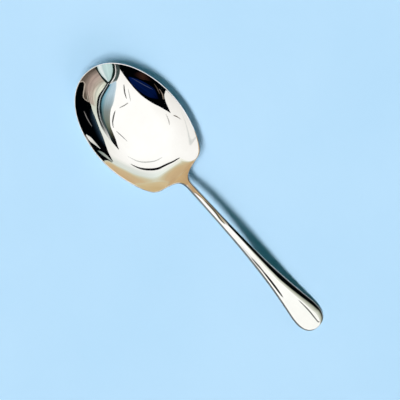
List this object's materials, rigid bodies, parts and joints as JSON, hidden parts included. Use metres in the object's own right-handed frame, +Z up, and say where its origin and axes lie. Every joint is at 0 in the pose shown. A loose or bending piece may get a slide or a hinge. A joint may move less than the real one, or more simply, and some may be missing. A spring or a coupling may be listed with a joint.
{
  "type": "serving spoon",
  "caption": "Large polished steel serving spoon with a deep oval bowl, squared shoulders, a slender arched stem and a broad rounded handle end.",
  "frame": {"origin": "centre of the bounding box in plan, at the height of the surface that the spoon lies on", "axes": "+X along the spoon towards the tip of the bowl, +Z up out of the bowl's hollow, +Y to the left seen from the handle"},
  "size_m": [0.228, 0.0638, 0.0234],
  "materials": {
    "bowl_steel": "mirror polished stainless steel",
    "handle_steel": "mirror polished stainless steel"
  },
  "bodies": {
    "root": {"bowl": "bowl_steel", "handle": "handle_steel"}
  },
  "joints": []
}
